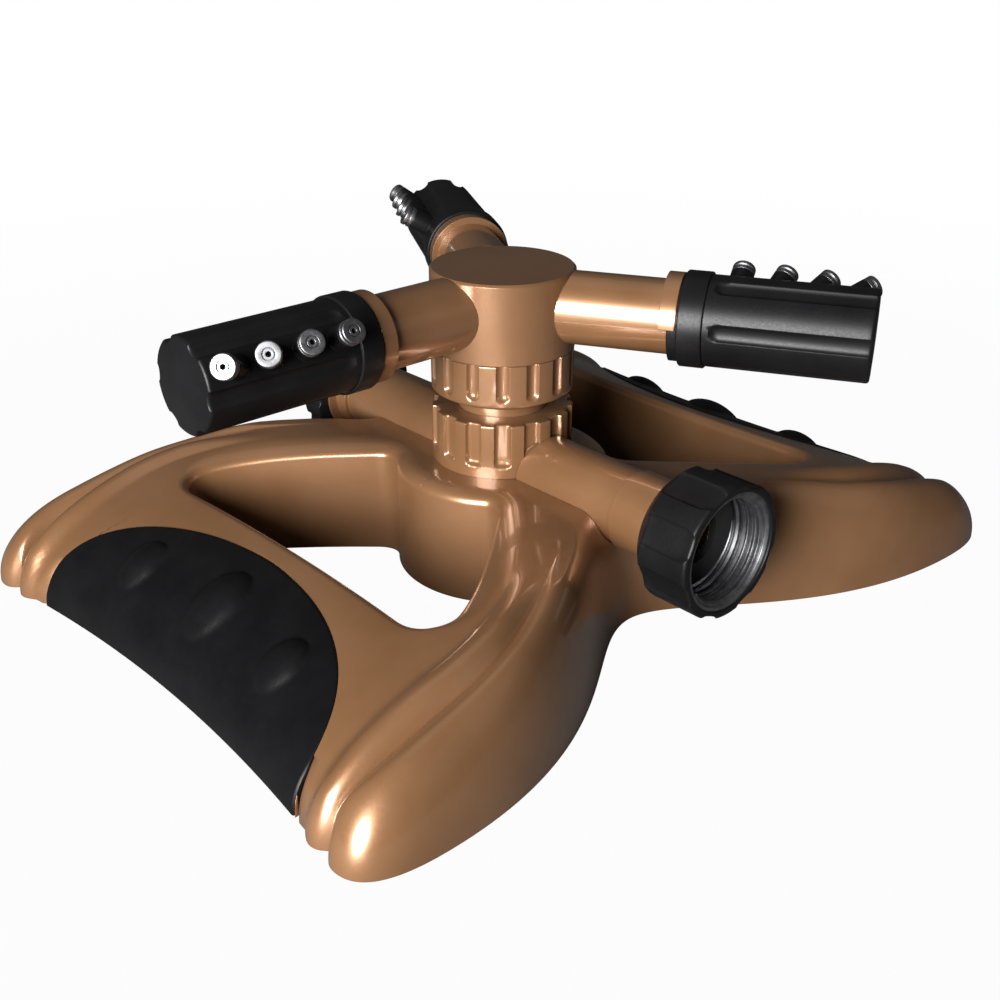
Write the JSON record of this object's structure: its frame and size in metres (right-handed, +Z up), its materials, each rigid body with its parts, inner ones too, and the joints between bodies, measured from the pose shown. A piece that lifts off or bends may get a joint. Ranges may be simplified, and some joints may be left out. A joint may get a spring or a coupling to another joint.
{
  "type": "rotary lawn sprinkler",
  "caption": "Rotary lawn sprinkler: a spinning hub carries arms with swivelling nozzle barrels above a wide moulded base with a threaded hose inlet.",
  "frame": {"origin": "on the ground under the rotor's axis", "axes": "+Z up along the rotor's axis, +X towards the hose inlet, -Y towards the wing shown in front"},
  "size_m": [0.1745, 0.2258, 0.0858],
  "materials": {
    "bronze": "glossy bronze-brown lacquer",
    "pad": "matt black soft-touch rubber",
    "black": "satin black plastic",
    "steel": "machined grey metal",
    "brass": "turned brass",
    "rubber": "black rubber"
  },
  "bodies": {
    "base": {"base_shell": "bronze", "grip_pad_front": "pad", "grip_pad_rear": "pad", "tee_body": "bronze", "tee_screws": "steel", "riser_collar": "bronze", "neck_stem": "bronze", "neck_seal": "rubber", "upper_washer": "black", "inlet_tail": "brass", "inlet_seal": "rubber", "hose_washer": "rubber"},
    "rotor": {"union_nut": "bronze", "lower_washer": "black", "hub": "bronze", "arm_tube_1": "bronze", "barrel_seal_1": "rubber", "barrel_clip_1": "steel", "arm_tube_2": "bronze", "barrel_seal_2": "rubber", "barrel_clip_2": "steel", "arm_tube_3": "bronze", "barrel_seal_3": "rubber", "barrel_clip_3": "steel"},
    "barrel_a": {"barrel_1": "black", "jets_1": "steel"},
    "barrel_b": {"barrel_2": "black", "jets_2": "steel"},
    "barrel_c": {"barrel_3": "black", "jets_3": "steel"},
    "coupling": {"inlet_grip": "black", "inlet_thread": "steel"},
    "cap_disc": {"cap_washer": "rubber"},
    "cap": {"end_cap": "black"}
  },
  "joints": [
    {"name": "rotor_spin", "type": "hinge", "parent": "base", "child": "rotor", "pos_m": [0, 0, 0.055], "axis": [0, 0, 1], "continuous": true},
    {"name": "barrel_a_turn", "type": "hinge", "parent": "rotor", "child": "barrel_a", "pos_m": [0.05196, 0.03, 0.0738], "axis": [0.866, 0.5, 0], "range_deg": [0, 60]},
    {"name": "barrel_b_turn", "type": "hinge", "parent": "rotor", "child": "barrel_b", "pos_m": [-0.05196, 0.03, 0.0738], "axis": [-0.866, 0.5, 0], "range_deg": [0, 60]},
    {"name": "barrel_c_turn", "type": "hinge", "parent": "rotor", "child": "barrel_c", "pos_m": [0, -0.06, 0.0738], "axis": [0, -1, 0], "range_deg": [0, 60]},
    {"name": "coupling_spin", "type": "hinge", "parent": "base", "child": "coupling", "pos_m": [0.07, 0, 0.0312], "axis": [1, 0, 0], "continuous": true},
    {"name": "cap_unscrew", "type": "hinge", "parent": "cap_disc", "child": "cap", "pos_m": [-0.066, 0, 0.0312], "axis": [-1, 0, 0], "range_deg": [0, 1081]},
    {"name": "cap_advance", "type": "slide", "parent": "base", "child": "cap_disc", "axis": [-1, 0, 0], "range_m": [0, 0.00663]}
  ],
  "couplings": [
    {"joint": "cap_unscrew", "follows": "cap_advance", "rad_per_m": 2844.4}
  ]
}
